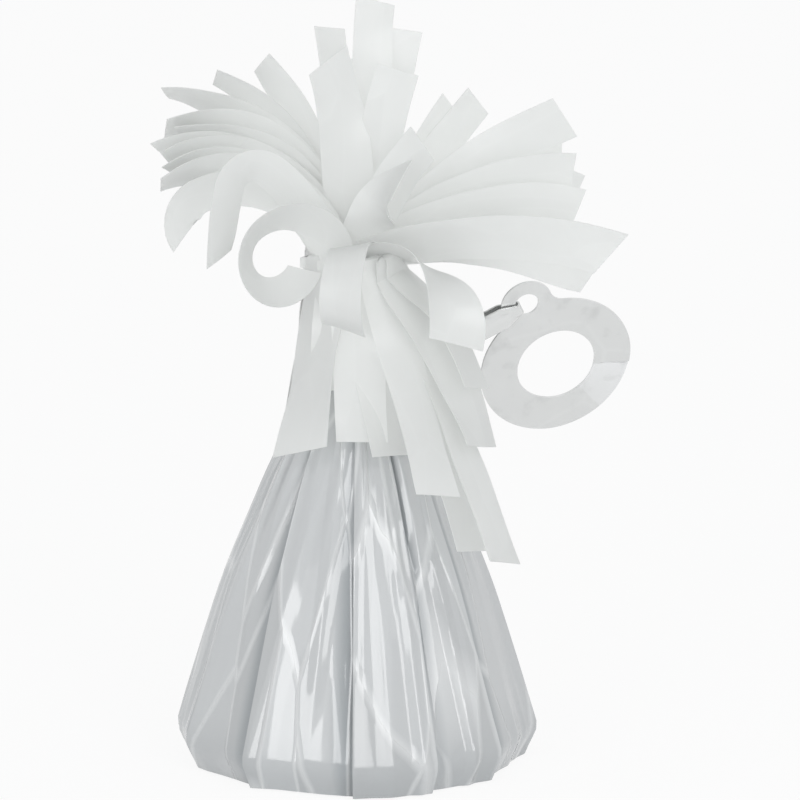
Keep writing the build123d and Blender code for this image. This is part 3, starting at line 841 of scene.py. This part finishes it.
def build_strip(name, shape, seed, look, material):
    """One film strip, rippled, kinked and slightly cupped, that stands for the node of the same name."""
    bm = bmesh.new()
    bmesh.ops.create_grid(bm, x_segments=STRIP_STEPS[0], y_segments=STRIP_STEPS[1], size=0.5)
    uv = bm.loops.layers.uv.new("film")
    whole = shape.root + shape.length
    flat = {vert: (vert.co.x, (vert.co.y + 0.5) * whole - shape.root) for vert in bm.verts}
    for face in bm.faces:
        for loop in face.loops:
            across, run = flat[loop.vert]
            loop[uv].uv = (across * shape.width + seed * 17.0, run + seed * 29.0)
    ripple = look.ripple / MM
    cup = look.cup * (1 if seed % 2 else -1) * (0.6 + 0.4 * soft_noise(seed * 1.3, 0.7, 8))
    kink = tan(radians(KINK * soft_noise(seed * 1.9 + 0.4, 2.2, 31)))
    kink_at = shape.length * (0.5 + 0.4 * soft_noise(seed * 2.7 + 0.2, 5.1, 32))
    for vert, (across, run) in flat.items():
        loose = ease(run / (0.45 * shape.length))
        twist = look.twist * loose * soft_noise(run * 0.05, 7.7, seed)
        middle, along, wide, normal = shape.at(run, degrees(twist))
        width = shape.width * shape.fullness * (0.85 + 0.15 * ease((run + 2.0) / 8.0))
        lift = ripple * loose * soft_noise(run * 0.11, across * 0.8, seed)
        lift += cup * width * loose * (1 - 4 * across * across) * 0.5
        if len(shape.arcs) == 1:
            lift += kink * max(0.0, run - kink_at)
        if shape.hook:
            lift -= (across * width) ** 2 / (2 * BAND_TOP_R) * (1 - loose)
        sway = SWAY * loose * soft_noise(run * 0.05, 3.3, seed + 50)
        slant = shape.skew * across * max(0.0, (run / shape.length - 0.9) / 0.1)
        vert.co = middle + wide * (across * width + sway) + normal * lift + along * slant
    thicken(bm, STRIP_T)
    return finish_piece(bm, name + "_film", material, "weight", [name])


class BALLOONWEIGHT_OT_plume(bpy.types.Operator):
    """Cut and fan the fringe strips that burst out of the top of the band"""
    bl_idname = "balloonweight.plume"
    bl_label = "Plume strips"

    def execute(self, context):
        look = context.scene.balloon_weight.fringe
        material = milky_film(look)
        across = Vector((1, 0, 0))
        for seed, (name, row) in enumerate(PLUME.items()):
            u, v, x, y, rise, lean, roll, width, skew = row
            seat = Vector((u * BAND_TOP_R, v * BAND_TOP_R, BAND_TOP + FIT))
            azimuth = degrees(atan2(y - seat.y, x - seat.x))
            seat.z += self.lowest(azimuth, lean, across)
            tip = Vector((x, y, BAND_TOP + rise))
            span = ROLL_SPAN
            if "left" in name:
                late = LATE * soft_noise(seed * 1.37 + 0.5, 4.4, 33)
                span = [share + late for share in LATE_SPAN]
            lean, roll = SOFT_POSE.get(name, (lean, roll))
            shape = StripShape(seat, tip, lean, roll, across, width, skew, TAILS.get(name, ()), span=span)
            shape.fullness = look.fullness * SPREAD.get(name, 1.0)
            build_strip(name, shape, seed + 1, look, material)
        return {"FINISHED"}

    def lowest(self, azimuth, lean, across):
        """Depth of a strip's lowest root corner below the middle of its root."""
        out = toward(azimuth)
        along = out * cos(radians(lean)) + UP * sin(radians(lean))
        wide = (across - along * across.dot(along)).normalized()
        thick = along.cross(wide)
        return abs(wide.z) * STRIP_ROOT / 2 + abs(thick.z) * FILM / 2


class BALLOONWEIGHT_OT_collar(bpy.types.Operator):
    """Fold the collar strips over the rim of the band and hang them down the cone"""
    bl_idname = "balloonweight.collar"
    bl_label = "Collar strips"

    def execute(self, context):
        look = context.scene.balloon_weight.fringe
        material = milky_film(look)
        for seed, (name, row) in enumerate(COLLAR.items()):
            turn, layer, tip_turn, drop, standoff, lean, width, skew = row
            out = toward(turn)
            seat = out * (BAND_TOP_R + FIT + FILM / 2 + layer * COLLAR_STEP) + UP * (BAND_TOP - COLLAR_DROP)
            tip_z = BAND_TOP - drop
            tip_r = straight_profile(tip_z)[0] + standoff
            tip = Vector((tip_r * cos(radians(tip_turn)), tip_r * sin(radians(tip_turn)), tip_z))
            across = Vector((-out.y, out.x, 0))
            hook = COLLAR_DROP + HOOK_RISE
            shape = StripShape(seat, tip, lean, 0, across, width, skew, hook=hook)
            shape.hook_r = HOOK_R + layer * COLLAR_STEP / 2
            shape.root = hook + pi * shape.hook_r + ROOT_TUCK
            shape.fullness = look.fullness * COLLAR_FULLNESS * SPREAD.get(name, 1.0)
            build_strip(name, shape, seed + 101, look, material)
        return {"FINISHED"}


class BALLOONWEIGHT_OT_neck(bpy.types.Operator):
    """Roll the uncut fringe round the gathered neck, and finish the elastic tie"""
    bl_idname = "balloonweight.neck"
    bl_label = "Fringe band and tie"

    turns = 4.0         # of the rolled film round the neck
    steps = (200, 14)   # faces round and up the roll
    unrolled = 80.0     # length of the film
    inset = 0.15        # outer turn inside the solid band
    uneven = 0.05       # most that the roll is out of round

    def execute(self, context):
        look = context.scene.balloon_weight.fringe
        bm = bmesh.new()
        bmesh.ops.create_grid(bm, x_segments=self.steps[0], y_segments=self.steps[1], size=0.5)
        uv = bm.loops.layers.uv.new("film")
        flat = {vert: (vert.co.x + 0.5, vert.co.y + 0.5) for vert in bm.verts}
        for face in bm.faces:
            for loop in face.loops:
                roll, level = flat[loop.vert]
                loop[uv].uv = (roll * self.unrolled, level * (BAND_TOP - BAND_Z))
        for vert, (roll, level) in flat.items():
            turn = 2 * pi * self.turns * roll
            z = BAND_Z + (BAND_TOP - BAND_Z) * level
            spread = ease((z - BAND_Z - WAIST_H) / SPREAD_H)
            outer = BAND_R + (BAND_TOP_R - BAND_R) * spread - self.inset
            radius = BAND_CORE_R + (outer - BAND_CORE_R) * roll
            radius += self.uneven * soft_noise(roll * 30, level * 2, 11)
            vert.co = (radius * cos(turn), radius * sin(turn), z)
        thicken(bm, ROLL_T)
        finish_piece(bm, "fringe_roll", milky_film(look), "weight", ["fringe_band"])
        rubber = grained("tie_rubber", (0.62, 0.58, 0.50), (0.55, 0.51, 0.43), 300.0, 0.55, 0.00015)
        refinish("neck_tie", rubber)
        return {"FINISHED"}


class BALLOONWEIGHT_OT_ballast(bpy.types.Operator):
    """Finish the cast plug, its cup and the base card inside the wrapper"""
    bl_idname = "balloonweight.ballast"
    bl_label = "Ballast"

    def execute(self, context):
        finishes = {
            "ballast_fill": grained("cast_plug", (0.56, 0.54, 0.50), (0.40, 0.38, 0.35), 90.0, 0.8, 0.0004),
            "ballast_cup": grained("cup_plastic", (0.80, 0.80, 0.78), (0.74, 0.74, 0.72), 60.0, 0.35, 0.0001),
            "base_card": grained("base_card", (0.60, 0.52, 0.40), (0.50, 0.43, 0.33), 220.0, 0.85, 0.0002),
        }
        for name, material in finishes.items():
            refinish(name, material)
        return {"FINISHED"}


def cut_copy(name, x_axis, normal, pitch):
    """Copy of a node's mesh in millimetres, merged and cut into small faces along two directions."""
    bm = bmesh.new()
    bm.from_mesh(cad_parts[name].data)
    bmesh.ops.scale(bm, vec=(1 / MM,) * 3, verts=bm.verts)
    bmesh.ops.remove_doubles(bm, verts=bm.verts, dist=MERGE)
    bmesh.ops.dissolve_limit(
        bm, angle_limit=radians(0.5), verts=bm.verts, edges=bm.edges, use_dissolve_boundaries=False,
    )
    bmesh.ops.triangulate(bm, faces=bm.faces)
    for axis in (x_axis, normal.cross(x_axis)):
        reach = [vert.co.dot(axis) for vert in bm.verts]
        place = min(reach) + pitch
        while place < max(reach):
            parts = bm.verts[:] + bm.edges[:] + bm.faces[:]
            bmesh.ops.bisect_plane(bm, geom=parts, dist=1e-5, plane_co=axis * place, plane_no=axis)
            place += pitch
    return bm


class BALLOONWEIGHT_OT_tab(bpy.types.Operator):
    """Crease the silver ring tab and crumple the film strap that holds it"""
    bl_idname = "balloonweight.tab"
    bl_label = "Ring tab and strap"

    ring_face = 0.8     # size of the small faces that the ring is cut into
    ring_wave = 0.22    # height of its soft waves
    crease = 58.0       # where its corner is creased, in degrees round the ring
    fading = 16.0       # where that crease has run out
    strap_face = 0.6    # the same two for the strap
    strap_wave = 0.12

    def execute(self, context):
        look = context.scene.balloon_weight.tab
        self.ring(look)
        self.strap(look)
        return {"FINISHED"}

    def ring(self, look):
        """Flat at the ear, with soft waves and one creased corner, painted lighter, on the far side of the
        ring.
        """
        bm = cut_copy("ring_tab", TAB_X, TAB_NORMAL, self.ring_face)
        corner = bm.verts.layers.float.new("corner")
        side = TAB_NORMAL.cross(TAB_X)
        middle = EAR + TAB_X * RING_PITCH
        for vert in bm.verts:
            place = vert.co - middle
            x, y = place.dot(TAB_X), place.dot(side)
            free = ease((x + 9.0) / 12.0)
            lift = self.ring_wave * free * soft_noise(x * 0.11, y * 0.11, 21)
            past = (degrees(atan2(y, x)) - self.crease) / (self.fading - self.crease)
            if 0 <= past <= 1 and x > 0:
                lift -= look.bend / MM * (1 - past) * ease((hypot(x, y) - 6.0) / 6.0)
                # painted highlight on the creased corner, strongest at the crease
                vert[corner] = 1 - 0.5 * past
            vert.co += TAB_NORMAL * lift
        silver = silver_film(
            "ring_silver", look, scale=60.0, grain=(240.0, 240.0, 240.0),
            patch_darkness=0.35, depth=0.08, roughness=0.30,
        )
        finish_piece(bm, "ring_tab_film", silver, "tab", ["ring_tab"], 25.0)

    def strap(self, look):
        """Ribbon drawn through the ear, crushed where it turns."""
        run = STRAP_ROOT - EAR
        along = (run - TAB_NORMAL * run.dot(TAB_NORMAL)).normalized()
        bm = cut_copy("strap", along, TAB_NORMAL, self.strap_face)
        side = TAB_NORMAL.cross(along)
        for vert in bm.verts:
            place = vert.co - EAR
            x, y = place.dot(along), place.dot(side)
            free = ease((x - 4.0) / 4.0) * ease((22.0 - x) / 4.0)
            leg = 1.0 if place.dot(TAB_NORMAL) > x * 0.02 else 2.0
            lift = self.strap_wave * free * soft_noise(x * 0.5, y * 0.7, 30 + leg)
            vert.co += TAB_NORMAL * lift
        # strong darker patches: painted dark reflections of the crushed strap film
        silver = silver_film(
            "strap_silver", look, scale=120.0, grain=(60.0, 500.0, 700.0),
            patch_darkness=0.9, depth=0.06, roughness=0.14,
        )
        finish_piece(bm, "strap_film", silver, "strap", ["strap"], 30.0)


class BALLOONWEIGHT_OT_stage(bpy.types.Operator):
    """Set the white floor, the soft studio light and the camera"""
    bl_idname = "balloonweight.stage"
    bl_label = "Stage"

    plain = 0.9         # how far the floor is seen as plain white
    sensor = 36.0       # width of the camera's sensor

    def execute(self, context):
        look = context.scene.balloon_weight.stage
        context.scene.view_settings.view_transform = "Standard"
        self.floor(look)
        self.world(context.scene)
        self.lamps()
        self.camera(context.scene, look)
        return {"FINISHED"}

    def floor(self, look):
        """White ground that keeps the object's shadow."""
        bm = bmesh.new()
        bmesh.ops.create_grid(bm, x_segments=1, y_segments=1, size=6.0)
        mesh = bpy.data.meshes.new("floor")
        bm.to_mesh(mesh)
        bm.free()
        material, tree = new_material("floor_white")
        grain = add_noise(tree, object_place(tree), 40.0, 2.0).outputs["Fac"]
        tone = add_range(tree, grain, 0.3, 0.7, 0.0, 1.0)
        paler = tuple(min(1.0, c * 1.02) for c in look.floor)
        colour = add_mix(tree, tone, look.floor, paler)
        matt = {"Base Color": colour, "Roughness": 0.9, "Specular IOR Level": 0.0}
        shader = node(tree, "ShaderNodeBsdfPrincipled", matt)
        white = node(tree, "ShaderNodeEmission", {"Color": WHITE, "Strength": 1.0})
        share = add_math(tree, "MULTIPLY", add_seen(tree), self.plain)
        add_output(tree, add_blend(tree, share, shader.outputs["BSDF"], white.outputs["Emission"]))
        mesh.materials.append(material)
        floor = add_object("floor", mesh)

    def world(self, scene):
        """Soft light from all round, seen as plain white."""
        world = bpy.data.worlds.new("studio")
        world.use_nodes = True
        tree = world.node_tree
        tree.nodes.clear()
        soft = node(tree, "ShaderNodeBackground", {"Color": (0.97, 0.985, 1.0, 1), "Strength": 0.6})
        white = node(tree, "ShaderNodeBackground", {"Color": WHITE, "Strength": 1.0})
        sky = add_blend(tree, add_seen(tree), soft.outputs["Background"], white.outputs["Background"])
        add_output(tree, sky, "ShaderNodeOutputWorld")
        scene.world = world

    def lamps(self):
        """Soft boxes turned to the object: name, place, width, height and power."""
        middle = Vector((0, 0, 0.06))
        rows = (
            ("key_softbox", (0.42, -0.80, 0.38), 0.36, 0.70, 2.1),
            ("left_softbox", (-0.45, -0.80, 0.24), 0.36, 0.44, 1.5),
            ("top_softbox", (0.0, 0.1, 0.95), 0.6, 0.6, 0.1),
            ("back_softbox", (0.0, 0.80, 0.50), 0.7, 0.6, 0.1),
        )
        for name, place, width, height, power in rows:
            lamp = bpy.data.lights.new(name, "AREA")
            lamp.shape = "RECTANGLE"
            lamp.size = width
            lamp.size_y = height
            lamp.energy = power
            spot = Vector(place)
            add_object(name, lamp).matrix_world = aimed(spot, middle - spot)

    def camera(self, scene, look):
        """Camera that looks along +Y, from a little above."""
        lens = bpy.data.cameras.new("camera")
        lens.sensor_fit = "HORIZONTAL"
        lens.sensor_width = self.sensor
        lens.lens = self.sensor * look.distance / look.view_width
        lens.clip_start = 0.01
        back = Vector((0, -cos(look.elevation), sin(look.elevation)))
        scene.camera = add_object("camera", lens)
        scene.camera.matrix_world = aimed(Vector(look.target) + back * look.distance, -back)


class BALLOONWEIGHT_PT_panel(bpy.types.Panel):
    """Lists the steps and sizes of the balloon weight"""
    bl_idname = "BALLOONWEIGHT_PT_panel"
    bl_label = "Balloon weight"
    bl_space_type = "VIEW_3D"
    bl_region_type = "UI"
    bl_category = "Balloon weight"

    def draw(self, context):
        layout = self.layout
        settings = context.scene.balloon_weight
        for step in STEPS:
            layout.operator(step.bl_idname)
        for name in ("wrapper", "fringe", "tab", "stage"):
            box = layout.box()
            box.label(text=name.capitalize())
            group = getattr(settings, name)
            for key in group.bl_rna.properties.keys():
                if key not in ("rna_type", "name"):
                    box.prop(group, key)


STEPS = (
    BALLOONWEIGHT_OT_stage, BALLOONWEIGHT_OT_wrapper, BALLOONWEIGHT_OT_ballast, BALLOONWEIGHT_OT_neck,
    BALLOONWEIGHT_OT_plume, BALLOONWEIGHT_OT_collar, BALLOONWEIGHT_OT_tab,
)
CLASSES = (
    WrapperSettings, FringeSettings, TabSettings, StageSettings, BalloonWeightSettings, *STEPS,
    BALLOONWEIGHT_PT_panel,
)


def register():
    """Add the settings, the operators and the panel."""
    for cls in CLASSES:
        bpy.utils.register_class(cls)
    bpy.types.Scene.balloon_weight = PointerProperty(type=BalloonWeightSettings)


def unregister():
    """Take them away again."""
    del bpy.types.Scene.balloon_weight
    for cls in reversed(CLASSES):
        bpy.utils.unregister_class(cls)


def main():
    """Build the stage and every piece."""
    register()
    bpy.ops.balloonweight.stage()
    bpy.ops.balloonweight.wrapper()
    bpy.ops.balloonweight.ballast()
    bpy.ops.balloonweight.neck()
    bpy.ops.balloonweight.plume()
    bpy.ops.balloonweight.collar()
    bpy.ops.balloonweight.tab()


if __name__ == "__main__":
    main()
